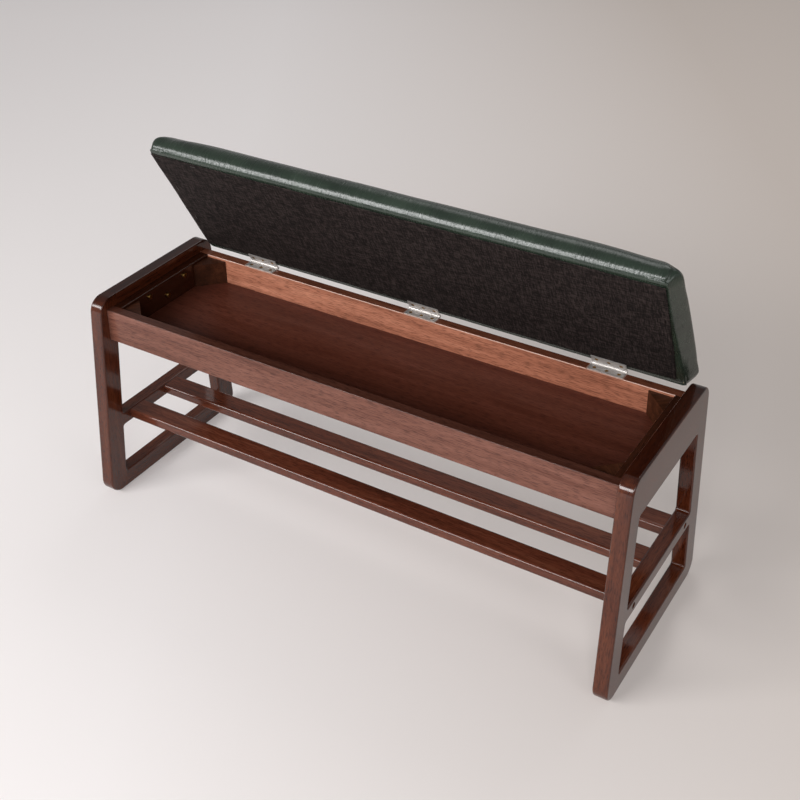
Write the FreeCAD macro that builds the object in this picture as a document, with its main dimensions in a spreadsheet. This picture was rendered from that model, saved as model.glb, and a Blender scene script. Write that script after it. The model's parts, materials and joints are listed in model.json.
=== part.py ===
import FreeCAD, Part
import math
import os
import re
import Sketcher

# Shoe storage bench: two splayed side frames carry a shallow box and a slatted shelf,
# and a padded lid turns on three butt hinges along the rear of the box.
# Millimetres. X runs along the bench, -Y is the front, Z is up from the floor.
# The lid is shown standing open, as far as lid_open_angle.

SIZES = {
    "overall_length": 1000,        # over the outer faces of the side frames
    "frame_height": 393,
    "frame_thickness": 25,
    "floor_half_depth": 181,       # half the frame's depth on the floor
    "top_half_depth": 149,         # half the frame's depth at its top
    "leg_width": 40,
    "top_rail_height": 77,
    "shelf_rail_height": 24,
    "shelf_rail_top": 153,
    "floor_rail_height": 33,
    "frame_corner_radius": 26,
    "window_corner_radius": 4,
    "frame_roundover": 3,
    "frame_dowel_radius": 4,
    "frame_dowel_length": 30,
    "frame_dowel_inset": 20,       # top rail's upper edge to its upper dowels
    "frame_dowel_rise": 29,        # top rail's lower edge to its lower dowels
    "dowel_clearance": 0.1,
    "box_half_depth": 135,         # centre to the aprons' outer faces
    "box_drop": 20,                # frame top to the top of the aprons
    "apron_height": 60,
    "apron_thickness": 18,
    "apron_roundover": 1.5,
    "end_panel_thickness": 18,
    "tray_depth": 48,              # apron top to the tray's floor
    "tray_thickness": 5,
    "tray_groove_depth": 6,
    "groove_clearance": 0.1,
    "block_leg": 42,               # corner block's two glued faces
    "block_tip": 2,
    "block_drop": 5,               # apron top to the block's top
    "apron_dowel_length": 24,
    "apron_dowel_inset": 15,       # apron's upper edge to its upper dowels
    "apron_dowel_rise": 20,        # apron's lower edge to its lower dowels
    "bolt_radius": 3,
    "bolt_head_radius": 5,
    "bolt_head_height": 3.5,
    "bolt_head_bevel": 0.7,
    "bolt_socket_radius": 2.3,     # to the corners of its six sides
    "bolt_socket_depth": 2,
    "bolt_clearance": 0.3,
    "box_bolt_length": 32,
    "box_bolt_spread": 47,         # middle bolt to an outer one, across the end panel
    "box_bolt_drop": 11.5,         # apron top to the two outer bolts
    "box_bolt_low_drop": 30,       # apron top to the middle bolt
    "insert_radius": 4.5,
    "insert_length": 15,
    "insert_bore_clearance": 0.05,
    "insert_hole_spare": 1.5,      # depth left behind an insert
    "slat_width": 40,
    "slat_thickness": 18,
    "slat_roundover": 4,
    "slat_drop": 2,                # shelf rail's top to the slats' tops
    "slat_leg_gap": 36.5,          # leg's inner edge to an outer slat's centre, with no setback
    "slat_setback": 3,             # middle slat's centre behind the frame's centre
    "slat_bolt_offset": 13,        # slat's centre to its bolt
    "slat_dowel_offset": 8,        # slat's centre to its dowel
    "shelf_bolt_length": 42,
    "counterbore_depth": 6,
    "hinge_length": 60,
    "hinge_end_inset": 127,        # lid's end to an outer hinge's centre
    "leaf_thickness": 1.4,
    "leaf_gap": 0.8,               # between the two leaves when the lid is shut
    "leaf_setback": 2,             # apron's inner face to the leaf's edge
    "leaf_screw_inset": 7.4,       # leaf's edge to its screws
    "knuckle_radius": 2.9,
    "knuckle_clearance": 0.5,      # apron's rear face to the knuckle
    "knuckle_end_gap": 0.3,
    "pin_radius": 1.5,
    "pin_clearance": 0.05,
    "mortise_end_gap": 2,
    "screw_head_radius": 3.1,
    "screw_head_height": 1.2,
    "screw_shank_radius": 1.5,
    "screw_length": 12,
    "screw_tip": 3,
    "screw_cross_length": 3.2,
    "screw_cross_width": 0.9,
    "screw_cross_depth": 0.7,
    "screw_clearance": 0.05,
    "screw_spread": 21,            # middle screw to an outer one
    "lid_open_angle": 60.5,        # degrees from shut, with the lid level when shut
    "lid_end_gap": 8,              # side frame to the lid's end
    "lid_overhang": 11.5,          # lid's front past the front apron's face
    "lid_rear_gap": 3.5,           # hinge pin to the lid's rear edge
    "lid_corner_radius": 8,
    "dust_cover_thickness": 0.8,
    "dust_cover_inset": 9,
    "cover_thickness": 1.2,
    "cover_hem": 24,               # how far the cover turns under the board
    "board_thickness": 15,
    "board_edge_round": 4,         # lower edge, where the cover turns under
    "board_clearance": 1,          # wadding between the board's edge and the cover
    "cushion_height": 53.5,
    "cushion_crown": 5,
    "cushion_crown_reach": 80,
    "cushion_edge_radius": 32,
    "cushion_side_swell": 7,       # how far the pad bulges past the lid's plan
    "cushion_under_round": 4,
    "foam_clearance": 0.3,
    "staple_crown": 10,
    "staple_wire": 0.7,
    "staple_leg": 6,
    "staple_pitch": 70,
    "staple_inset": 15,
}

doc = FreeCAD.newDocument("ShoeBench")
sizes = doc.addObject("Spreadsheet::Sheet", "Sizes")
for row, (alias, number) in enumerate(SIZES.items(), 1):
    sizes.set(f"A{row}", alias)
    sizes.set(f"B{row}", str(number))
    sizes.setAlias(f"B{row}", alias)
doc.recompute()

# Places worked out from the driving sizes
HALF = "overall_length / 2"
INNER = "(overall_length / 2 - frame_thickness)"
PANEL_FACE = "(overall_length / 2 - frame_thickness - end_panel_thickness)"
SPLAY = "((floor_half_depth - top_half_depth) / frame_height)"
RAIL_TOP = "(frame_height - box_drop)"
BOX_BOTTOM = "(frame_height - box_drop - apron_height)"
APRON_FACE = "(box_half_depth - apron_thickness)"
APRON_MIDDLE = "(box_half_depth - apron_thickness / 2)"
TRAY_TOP = "(frame_height - box_drop - tray_depth)"
SHELF_BOTTOM = "(shelf_rail_top - shelf_rail_height)"
SLAT_MIDDLE = "(shelf_rail_top - slat_drop - slat_thickness / 2)"
UPPER_GAP_MIDDLE = "((shelf_rail_top + frame_height - top_rail_height) / 2)"
LOWER_GAP_MIDDLE = "((floor_rail_height + shelf_rail_top - shelf_rail_height) / 2)"
PIN_Y = "(box_half_depth + knuckle_clearance + knuckle_radius)"
PIN_Z = "(frame_height - box_drop + leaf_gap / 2)"
LEAF_WIDTH = "(knuckle_clearance + knuckle_radius + apron_thickness - leaf_setback)"
LEAF_SCREW_LINE = f"({LEAF_WIDTH} - leaf_screw_inset)"
LEAF_OUTER = "(leaf_gap / 2 + leaf_thickness)"
HEM_PLANE = "(leaf_gap / 2 + leaf_thickness + dust_cover_thickness)"
BOARD_BOTTOM = "(leaf_gap / 2 + leaf_thickness + dust_cover_thickness + cover_thickness)"
LID_HALF_LENGTH = "(overall_length / 2 - frame_thickness - lid_end_gap)"
LID_FRONT = "(2 * box_half_depth + knuckle_clearance + knuckle_radius + lid_overhang)"
BORE_RADIUS = "(bolt_radius + insert_bore_clearance)"
BOLT_HOLE = "bolt_radius + bolt_clearance"
INSERT_HOLE = "insert_radius + dowel_clearance"
INSERT_HOLE_LENGTH = "insert_length + insert_hole_spare"
PILOT_HOLE = "screw_shank_radius + screw_clearance"
MARGIN = 20.0                      # how far a cutting shape stands clear of the piece
TOUCH = 0.01                       # closer than this is the same place

SIDES = {"left": -1, "right": 1}
HINGES = {"left": -1, "middle": 0, "right": 1}
nodes = []


def tie(text):
    """The expression with every size's name pointed at its cell."""
    return re.sub(r"[a-z]\w*", lambda word: "Sizes." + word[0], text)


def value(text):
    """The number that an expression gives now."""
    return float(sizes.evalExpression(tie(text)))


def bind(item, name, text):
    item.setExpression(name, tie(text))


def place(item, x="0", y="0", z="0"):
    for axis, text in (("x", x), ("y", y), ("z", z)):
        bind(item, f"Placement.Base.{axis}", text)


def place_on_lid(item, x="0"):
    """Set a piece that was drawn shut, about the hinge pin, to the lid's open angle."""
    item.Placement.Rotation = FreeCAD.Rotation(FreeCAD.Vector(1, 0, 0), -value("lid_open_angle"))
    place(item, x, PIN_Y, PIN_Z)
    bind(item, "Placement.Rotation.Angle", "-lid_open_angle")


def node(item, label):
    """Keep an object as a finished piece under its own name."""
    item.Label = label
    nodes.append(item)
    return item


def box(name, x, y, z):
    item = doc.addObject("Part::Box", name)
    for size, (low, high) in zip(("Length", "Width", "Height"), (x, y, z)):
        bind(item, size, f"({high}) - ({low})")
    place(item, x[0], y[0], z[0])
    return item


TURN = {
    "X": FreeCAD.Rotation(FreeCAD.Vector(0, 1, 0), 90),
    "Y": FreeCAD.Rotation(FreeCAD.Vector(1, 0, 0), -90),
    "Z": FreeCAD.Rotation(),
}


def rod(name, axis, radius, start, length):
    """Cylinder from a start point along an axis."""
    item = doc.addObject("Part::Cylinder", name)
    bind(item, "Radius", radius)
    bind(item, "Height", length)
    item.Placement.Rotation = TURN[axis]
    place(item, *start)
    return item


def group(name, items):
    item = doc.addObject("Part::Compound", name)
    item.Links = items
    return item


def cut(name, base, tools):
    item = doc.addObject("Part::Cut", name)
    item.Base = base
    item.Tool = group(name + "_cuts", tools)
    return item


def outline(body, name, role, loops):
    """Sketch of closed polygons, each corner held by two distances from the origin."""
    sketch = body.newObject("Sketcher::SketchObject", name)
    plane = next(feature for feature in body.Origin.OriginFeatures if feature.Role == role)
    sketch.AttachmentSupport = [(plane, "")]
    sketch.MapMode = "FlatFace"
    for loop in loops:
        corners = [FreeCAD.Vector(value(across), value(up), 0) for across, up in loop]
        first = sketch.GeometryCount
        for start, end in zip(corners, corners[1:] + corners[:1]):
            sketch.addGeometry(Part.LineSegment(start, end), False)
        for step, corner in enumerate(loop):
            line = first + step
            following = first + (step + 1) % len(loop)
            sketch.addConstraint(Sketcher.Constraint("Coincident", line, 2, following, 1))
            for kind, text in zip(("DistanceX", "DistanceY"), corner):
                index = sketch.addConstraint(Sketcher.Constraint(kind, -1, 1, line, 1, value(text)))
                sketch.setExpression(f"Constraints[{index}]", tie(text))
    return sketch


def padded_body(name, role, loops, length):
    """Body with one padded sketch; the pad is its tip."""
    body = doc.addObject("PartDesign::Body", name)
    sketch = outline(body, name + "_outline", role, loops)
    pad = body.newObject("PartDesign::Pad", name + "_pad")
    pad.Profile = sketch
    bind(pad, "Length", length)
    doc.recompute()
    return body


def rounded(body, test, radius):
    """Round the edges of the body's tip that pass a test."""
    base = body.Tip
    names = [f"Edge{number}" for number, edge in enumerate(base.Shape.Edges, 1) if test(edge)]
    fillet = body.newObject("PartDesign::Fillet", f"{body.Name}_round")
    fillet.Base = (base, names)
    bind(fillet, "Radius", radius)
    doc.recompute()


def slab(name, x, y, z):
    """Board whose grain runs along X."""
    loop = [(y[0], z[0]), (y[1], z[0]), (y[1], z[1]), (y[0], z[1])]
    body = padded_body(name, "YZ_Plane", [loop], f"({x[1]}) - ({x[0]})")
    place(body, x[0])
    return body


def along_x(edge):
    first, last = edge.Vertexes[0].Point, edge.Vertexes[-1].Point
    return abs(first.x - last.x) > abs(first.y - last.y) + abs(first.z - last.z)


def leg_edge(height, sign):
    """Y of a leg's inner edge at a height, on the front (-1) or the rear (1)."""
    return f"({sign}) * (floor_half_depth - leg_width - {SPLAY} * ({height}))"


def between_legs(low, high):
    corners = ((-1, low), (1, low), (1, high), (-1, high))
    return [(leg_edge(height, sign), height) for sign, height in corners]


def leg_zone(sign):
    low, high = f"-{MARGIN}", f"frame_height + {MARGIN}"
    outside = f"({sign}) * (floor_half_depth + {MARGIN})"
    return [(outside, low), (leg_edge(low, sign), low), (leg_edge(high, sign), high), (outside, high)]


# Side frames: glued up from two legs and three rails, then routed round all edges

FRAME_OUTLINE = [
    ("-floor_half_depth", "0"),
    ("floor_half_depth", "0"),
    ("top_half_depth", "frame_height"),
    ("-top_half_depth", "frame_height"),
]
LOWER_WINDOW = between_legs("floor_rail_height", SHELF_BOTTOM)
UPPER_WINDOW = between_legs("shelf_rail_top", "frame_height - top_rail_height")
MEMBER_ZONES = {
    "front_leg": leg_zone(-1),
    "rear_leg": leg_zone(1),
    "top_rail": between_legs(UPPER_GAP_MIDDLE, f"frame_height + {MARGIN}"),
    "shelf_rail": between_legs(LOWER_GAP_MIDDLE, UPPER_GAP_MIDDLE),
    "floor_rail": between_legs(f"-{MARGIN}", LOWER_GAP_MIDDLE),
}
FRAME_DOWEL_HEIGHTS = (
    "frame_height - frame_dowel_inset",
    "frame_height - top_rail_height + frame_dowel_rise",
    f"{SHELF_BOTTOM} + shelf_rail_height / 2",
    "floor_rail_height / 2",
)
APRON_DOWEL_HEIGHTS = (f"{RAIL_TOP} - apron_dowel_inset", f"{BOX_BOTTOM} + apron_dowel_rise")
BOX_BOLTS = [
    ("-box_bolt_spread", f"{RAIL_TOP} - box_bolt_drop"),
    ("0", f"{RAIL_TOP} - box_bolt_low_drop"),
    ("box_bolt_spread", f"{RAIL_TOP} - box_bolt_drop"),
]


def slat_centre(step):
    return f"slat_setback + {leg_edge(SLAT_MIDDLE, step)} - ({step}) * slat_leg_gap"


def slat_bolts():
    """Y of the bolts: one in the front slat and one in the rear slat, towards the legs."""
    return [f"{slat_centre(step)} + ({step}) * slat_bolt_offset" for step in (-1, 1)]


def slat_dowels():
    """Y of the dowels: one beside each bolt, and two in the middle slat."""
    outer = [f"{slat_centre(step)} - ({step}) * slat_dowel_offset" for step in (-1, 1)]
    return outer + [f"{slat_centre(0)} + ({step}) * slat_dowel_offset" for step in (-1, 1)]


def frame_dowels(name, side, extra):
    """Dowels across the leg and rail joints of one frame, or their holes with extra room."""
    x = f"({side}) * ({HALF} - frame_thickness / 2)"
    length = f"frame_dowel_length + 2 * ({extra})"
    items = []
    for height in FRAME_DOWEL_HEIGHTS:
        for sign in (-1, 1):
            start = (x, f"{leg_edge(height, sign)} - ({length}) / 2", height)
            items.append(rod(name, "Y", f"frame_dowel_radius + {extra}", start, length))
    return items


def end_dowels(name, side, places, extra):
    """Dowels along X that stand half in a side frame."""
    length = f"apron_dowel_length + 2 * ({extra})"
    start = f"({side}) * {INNER} - ({length}) / 2"
    return [rod(name, "X", f"frame_dowel_radius + {extra}", (start, y, z), length) for y, z in places]


def along(side, distance, length):
    """Start of a rod that begins a distance in from the frame's outer face and runs inwards."""
    if side > 0:
        return f"{HALF} - ({distance}) - ({length})"
    return f"-({HALF}) + ({distance})"


def apron_dowels(sign):
    """Y and Z of the dowels in either end of the front or the rear apron."""
    return [(f"({sign}) * {APRON_MIDDLE}", height) for height in APRON_DOWEL_HEIGHTS]


APRON_DOWELS = apron_dowels(-1) + apron_dowels(1)
SLAT_DOWELS = [(y, SLAT_MIDDLE) for y in slat_dowels()]
SHELF_BOLTS = [(y, SLAT_MIDDLE) for y in slat_bolts()]


def frame_holes(name, side):
    """All holes bored in one side frame."""
    holes = frame_dowels(name + "_dowel_hole", side, "dowel_clearance")
    holes += end_dowels(name + "_end_hole", side, APRON_DOWELS + SLAT_DOWELS, "dowel_clearance")
    for y, z in BOX_BOLTS:
        start = (along(side, f"frame_thickness - ({INSERT_HOLE_LENGTH})", INSERT_HOLE_LENGTH), y, z)
        holes.append(rod(name + "_insert_hole", "X", INSERT_HOLE, start, INSERT_HOLE_LENGTH))
    for y, z in SHELF_BOLTS:
        through = (along(side, "0", "frame_thickness"), y, z)
        mouth = (along(side, "0", "counterbore_depth"), y, z)
        joined = doc.addObject("Part::Fuse", name + "_bolt_bore")
        joined.Base = rod(name + "_bolt_hole", "X", BOLT_HOLE, through, "frame_thickness")
        head_room = "bolt_head_radius + bolt_clearance"
        joined.Tool = rod(name + "_counterbore", "X", head_room, mouth, "counterbore_depth")
        holes.append(joined)
    return holes


def at_one_of(edge, points):
    """Whether an edge along X stands at one of some points of the YZ plane."""
    end = edge.Vertexes[0].Point
    return any(math.hypot(end.y - y, end.z - z) < TOUCH for y, z in points)


def frame_blank(name, side):
    body = padded_body(name, "YZ_Plane", [FRAME_OUTLINE, LOWER_WINDOW, UPPER_WINDOW], "frame_thickness")
    corners = {
        "frame_corner_radius": FRAME_OUTLINE,
        "window_corner_radius": LOWER_WINDOW + UPPER_WINDOW,
    }
    for radius, places in corners.items():
        points = [(value(y), value(z)) for y, z in places]
        rounded(body, lambda edge: along_x(edge) and at_one_of(edge, points), radius)
    rounded(body, lambda edge: edge.BoundBox.XLength < TOUCH, "frame_roundover")
    place(body, f"-({HALF})" if side < 0 else INNER)
    return body


zones = {}
for member, loop in MEMBER_ZONES.items():
    zones[member] = padded_body(member + "_zone", "YZ_Plane", [loop], f"overall_length + 2 * {MARGIN}")
    place(zones[member], f"-({HALF}) - {MARGIN}")

for name, side in SIDES.items():
    blank = frame_blank(name + "_frame_blank", side)
    holes = frame_holes(name, side)
    for member, zone in zones.items():
        part = doc.addObject("Part::Common", f"{name}_{member}_blank")
        part.Base = blank
        part.Tool = zone
        node(cut(f"{name}_{member}", part, holes), f"{name}_{member}")
    node(group(f"{name}_frame_dowels", frame_dowels(f"{name}_dowel", side, "0")), f"{name}_frame_dowels")

# Box: two aprons between the frames, two end panels, a tray floor in grooves and glued corner blocks

TRAY_GROOVE = (f"{TRAY_TOP} - tray_thickness - groove_clearance", f"{TRAY_TOP} + groove_clearance")
GROOVE_DEPTH = "tray_groove_depth + groove_clearance"
APRON_HEIGHT = (BOX_BOTTOM, RAIL_TOP)
GROOVE_LENGTH = (f"-({PANEL_FACE}) - ({GROOVE_DEPTH})", f"{PANEL_FACE} + {GROOVE_DEPTH}")


def facing(sign, low, high):
    """A span of Y on the front or the rear, low value first."""
    return (f"({low})", f"({high})") if sign > 0 else (f"-({high})", f"-({low})")


def hinge_centre(step):
    return f"({step}) * ({LID_HALF_LENGTH} - hinge_end_inset)"


def leaf_screw_places(step):
    return [f"{hinge_centre(step)} + ({shift}) * screw_spread" for shift in (-1, 0, 1)]


def apron(name, sign, extra_cuts):
    thickness = facing(sign, APRON_FACE, "box_half_depth")
    groove = facing(sign, APRON_FACE, f"{APRON_FACE} + {GROOVE_DEPTH}")
    blank = slab(name + "_blank", (f"-{INNER}", INNER), thickness, APRON_HEIGHT)
    rounded(blank, along_x, "apron_roundover")
    cuts = [box(name + "_groove", GROOVE_LENGTH, groove, TRAY_GROOVE)]
    for side in SIDES.values():
        cuts += end_dowels(name + "_end_hole", side, apron_dowels(sign), "dowel_clearance")
    node(cut(name, blank, cuts + extra_cuts), name)


def hinge_seats():
    """Shallow mortises across the rear apron's top, with the screws' pilot holes."""
    seats = []
    for step in HINGES.values():
        reach = "hinge_length / 2 + mortise_end_gap"
        x = (f"{hinge_centre(step)} - ({reach})", f"{hinge_centre(step)} + {reach}")
        depth = (f"{RAIL_TOP} - leaf_thickness", RAIL_TOP)
        seats.append(box("hinge_mortise", x, (APRON_FACE, "box_half_depth"), depth))
        bottom = f"{RAIL_TOP} - screw_length - screw_clearance"
        length = "screw_length - leaf_thickness + screw_clearance"
        for screw_x in leaf_screw_places(step):
            start = (screw_x, f"{PIN_Y} - {LEAF_SCREW_LINE}", bottom)
            seats.append(rod("rail_pilot", "Z", PILOT_HOLE, start, length))
    return seats


apron("front_apron", -1, [])
apron("rear_apron", 1, hinge_seats())



def top_arris(edge):
    """Long upper edges of an end panel."""
    span = edge.BoundBox
    return span.ZMin > value(RAIL_TOP) - TOUCH and span.XLength < TOUCH


def end_panel(name, side):
    y = (f"-{APRON_FACE}", APRON_FACE)
    loop = [(y[0], BOX_BOTTOM), (y[1], BOX_BOTTOM), (y[1], RAIL_TOP), (y[0], RAIL_TOP)]
    blank = padded_body(name + "_blank", "YZ_Plane", [loop], "end_panel_thickness")
    place(blank, facing(side, PANEL_FACE, INNER)[0])
    rounded(blank, top_arris, "apron_roundover")
    groove = facing(side, PANEL_FACE, f"{PANEL_FACE} + {GROOVE_DEPTH}")
    cuts = [box(name + "_groove", groove, y, TRAY_GROOVE)]
    for bolt_y, bolt_z in BOX_BOLTS:
        start = (along(side, "frame_thickness", "end_panel_thickness"), bolt_y, bolt_z)
        cuts.append(rod(name + "_bolt_hole", "X", BOLT_HOLE, start, "end_panel_thickness"))
    node(cut(name, blank, cuts), name)


for name, side in SIDES.items():
    end_panel(f"{name}_end_panel", side)
    dowels = end_dowels(f"{name}_apron_dowel", side, APRON_DOWELS, "0")
    node(group(f"{name}_apron_dowels", dowels), f"{name}_apron_dowels")

tray_x = f"{PANEL_FACE} + tray_groove_depth"
tray_y = f"{APRON_FACE} + tray_groove_depth"
tray_z = (f"{TRAY_TOP} - tray_thickness", TRAY_TOP)
node(slab("tray_panel", (f"-({tray_x})", tray_x), (f"-({tray_y})", tray_y), tray_z), "tray_panel")

BLOCK_OUTLINE = [
    ("0", "0"),
    ("block_leg", "0"),
    ("block_leg", "block_tip"),
    ("block_tip", "block_leg"),
    ("0", "block_leg"),
]
for end, side in SIDES.items():
    for face, sign in (("front", -1), ("rear", 1)):
        loop = []
        for back_x, back_y in BLOCK_OUTLINE:
            loop.append((f"({side}) * ({PANEL_FACE} - {back_x})", f"({sign}) * ({APRON_FACE} - {back_y})"))
        block = padded_body(f"{face}_{end}_corner_block", "XY_Plane", [loop], "tray_depth - block_drop")
        place(block, z=TRAY_TOP)
        node(block, f"{face}_{end}_corner_block")

# Shelf: three slats between the shelf rails, bolted front and rear and kept from turning by dowels

SLAT_HEIGHT = ("shelf_rail_top - slat_drop - slat_thickness", "shelf_rail_top - slat_drop")
SLAT_BOLT_REACH = "shelf_bolt_length + counterbore_depth - frame_thickness + insert_hole_spare"


def slat_bore(name, side, y):
    """Hole in a slat's end for a threaded insert, with room for the bolt's tip behind it."""
    mouth = (along(side, "frame_thickness", INSERT_HOLE_LENGTH), y, SLAT_MIDDLE)
    tail = (along(side, "frame_thickness", SLAT_BOLT_REACH), y, SLAT_MIDDLE)
    joined = doc.addObject("Part::Fuse", name + "_bore")
    joined.Base = rod(name + "_insert_hole", "X", INSERT_HOLE, mouth, INSERT_HOLE_LENGTH)
    joined.Tool = rod(name + "_bolt_hole", "X", BOLT_HOLE, tail, SLAT_BOLT_REACH)
    return joined


def slat(name, step, dowel_lines, bolt_lines):
    y = (f"{slat_centre(step)} - slat_width / 2", f"{slat_centre(step)} + slat_width / 2")
    blank = slab(name + "_blank", (f"-{INNER}", INNER), y, SLAT_HEIGHT)
    rounded(blank, along_x, "slat_roundover")
    dowels = [(line, SLAT_MIDDLE) for line in dowel_lines]
    holes = []
    for side in SIDES.values():
        holes += end_dowels(name + "_hole", side, dowels, "dowel_clearance")
        holes += [slat_bore(name, side, line) for line in bolt_lines]
    node(cut(name, blank, holes), name)


front_dowel, rear_dowel, *middle_dowels = slat_dowels()
front_bolt, rear_bolt = slat_bolts()
slat("front_slat", -1, [front_dowel], [front_bolt])
slat("middle_slat", 0, middle_dowels, [])
slat("rear_slat", 1, [rear_dowel], [rear_bolt])

shelf_dowels = []
for side in SIDES.values():
    shelf_dowels += end_dowels("slat_dowel", side, SLAT_DOWELS, "0")
node(group("slat_dowels", shelf_dowels), "slat_dowels")


def revolved(name, profile):
    """Turned piece: a closed profile in the XZ plane, spun about Z."""
    body = doc.addObject("PartDesign::Body", name)
    sketch = outline(body, name + "_profile", "XZ_Plane", [profile])
    turn = body.newObject("PartDesign::Revolution", name + "_turn")
    turn.Profile = sketch
    turn.ReferenceAxis = (sketch, ["V_Axis"])
    turn.Angle = 360
    doc.recompute()
    return body


def copies(label, master, placements):
    """Identical fasteners as one group of separate solids, each a copy of the turned master."""
    doc.recompute()
    shapes = []
    for placement in placements:
        shape = master.Shape.copy()
        shape.Placement = placement
        shapes.append(shape)
    item = doc.addObject("Part::Feature", label)
    item.Shape = Part.makeCompound(shapes)
    return node(item, label)


def bolt(name, length):
    """Bolt with a six-sided socket, head above the origin and shank below it."""
    blank = revolved(name + "_blank", [
        ("0", f"-({length})"),
        ("bolt_radius", f"-({length})"),
        ("bolt_radius", "0"),
        ("bolt_head_radius", "0"),
        ("bolt_head_radius", "bolt_head_height - bolt_head_bevel"),
        ("bolt_head_radius - bolt_head_bevel", "bolt_head_height"),
        ("0", "bolt_head_height"),
    ])
    socket = doc.addObject("Part::Prism", name + "_socket")
    socket.Polygon = 6
    bind(socket, "Circumradius", "bolt_socket_radius")
    bind(socket, "Height", "bolt_socket_depth")
    place(socket, z="bolt_head_height - bolt_socket_depth")
    return cut(name, blank, [socket])


def wood_screw(name):
    """Countersunk screw with a cross recess, its head's face at the origin and its point below."""
    blank = revolved(name + "_blank", [
        ("0", "-screw_length"),
        ("screw_shank_radius", "screw_tip - screw_length"),
        ("screw_shank_radius", "-screw_head_height"),
        ("screw_head_radius", "0"),
        ("0", "0"),
    ])
    slot = ("-screw_cross_length / 2", "screw_cross_length / 2")
    width = ("-screw_cross_width / 2", "screw_cross_width / 2")
    depth = ("-screw_cross_depth", "0")
    cross = doc.addObject("Part::Fuse", name + "_cross")
    cross.Base = box(name + "_slot", slot, width, depth)
    cross.Tool = box(name + "_cross_slot", width, slot, depth)
    return cut(name, blank, [cross])


box_bolt = bolt("box_bolt", "box_bolt_length")
shelf_bolt = bolt("shelf_bolt", "shelf_bolt_length")
screw = wood_screw("wood_screw")
insert = revolved("threaded_insert", [
    (BORE_RADIUS, "-insert_length"),
    ("insert_radius", "-insert_length"),
    ("insert_radius", "0"),
    (BORE_RADIUS, "0"),
])


def pointing(x, y, z, direction):
    """Placement of a turned piece whose head faces a direction."""
    turn = FreeCAD.Rotation(FreeCAD.Vector(0, 0, 1), FreeCAD.Vector(*direction))
    return FreeCAD.Placement(FreeCAD.Vector(value(x), value(y), value(z)), turn)


def row(side, seat, places, outwards):
    """Placements along one side frame, with the heads facing outwards (1) or into the bench (-1)."""
    return [pointing(f"({side}) * ({seat})", y, z, (side * outwards, 0, 0)) for y, z in places]


for name, side in SIDES.items():
    copies(f"{name}_box_bolts", box_bolt, row(side, PANEL_FACE, BOX_BOLTS, -1))
    copies(f"{name}_frame_inserts", insert, row(side, INNER, BOX_BOLTS, -1))

BOLT_SEAT = f"{HALF} - counterbore_depth"
copies("shelf_bolts", shelf_bolt, row(-1, BOLT_SEAT, SHELF_BOLTS, 1) + row(1, BOLT_SEAT, SHELF_BOLTS, 1))
copies("slat_inserts", insert, row(-1, INNER, SHELF_BOLTS, 1) + row(1, INNER, SHELF_BOLTS, 1))

# Hinges: two leaves and a loose pin each, drawn shut about the pin's axis

KNUCKLE = "((hinge_length - 2 * knuckle_end_gap) / 3)"
LEAF_SPAN = ("-hinge_length / 2", "hinge_length / 2")
KNUCKLE_SPANS = {
    "rail": [(LEAF_SPAN[0], f"{LEAF_SPAN[0]} + {KNUCKLE}"), (f"{LEAF_SPAN[1]} - {KNUCKLE}", LEAF_SPAN[1])],
    "lid": [(f"-{KNUCKLE} / 2", f"{KNUCKLE} / 2")],
}
LEAF_HEIGHT = {"rail": (f"-{LEAF_OUTER}", "-leaf_gap / 2"), "lid": ("leaf_gap / 2", LEAF_OUTER)}
BORE = "(pin_radius + pin_clearance)"
CLEAR_OF_KNUCKLE = "-(knuckle_radius + knuckle_clearance)"


def leaf(name, kind):
    """One hinge leaf: plate, tabs to its own knuckles, a bored pin hole and countersunk screw holes."""
    low, high = LEAF_HEIGHT[kind]
    solids = [box(f"{name}_plate", LEAF_SPAN, (f"-{LEAF_WIDTH}", CLEAR_OF_KNUCKLE), (low, high))]
    for start, end in KNUCKLE_SPANS[kind]:
        solids.append(box(f"{name}_tab", (start, end), (CLEAR_OF_KNUCKLE, "0"), (low, high)))
        length = f"({end}) - ({start})"
        solids.append(rod(f"{name}_knuckle", "X", "knuckle_radius", (start, "0", "0"), length))
    joined = doc.addObject("Part::MultiFuse", f"{name}_solid")
    joined.Shapes = solids
    holes = [rod(f"{name}_bore", "X", BORE, ("-hinge_length", "0", "0"), "2 * hinge_length")]
    for shift in (-1, 0, 1):
        sink = doc.addObject("Part::Cone", f"{name}_sink")
        wide = "screw_head_radius + screw_clearance"
        bind(sink, "Radius1", PILOT_HOLE if kind == "rail" else wide)
        bind(sink, "Radius2", wide if kind == "rail" else PILOT_HOLE)
        bind(sink, "Height", "leaf_thickness")
        place(sink, f"({shift}) * screw_spread", f"-{LEAF_SCREW_LINE}", low)
        holes.append(sink)
    return cut(name, joined, holes)


for name, step in HINGES.items():
    rail_leaf = leaf(f"{name}_hinge_rail_leaf", "rail")
    place(rail_leaf, hinge_centre(step), PIN_Y, PIN_Z)
    node(rail_leaf, f"{name}_hinge_rail_leaf")
    lid_leaf = leaf(f"{name}_hinge_lid_leaf", "lid")
    place_on_lid(lid_leaf, hinge_centre(step))
    node(lid_leaf, f"{name}_hinge_lid_leaf")
    pin_start = (f"{hinge_centre(step)} - hinge_length / 2", PIN_Y, PIN_Z)
    node(rod(f"{name}_hinge_pin", "X", "pin_radius", pin_start, "hinge_length"), f"{name}_hinge_pin")

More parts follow.
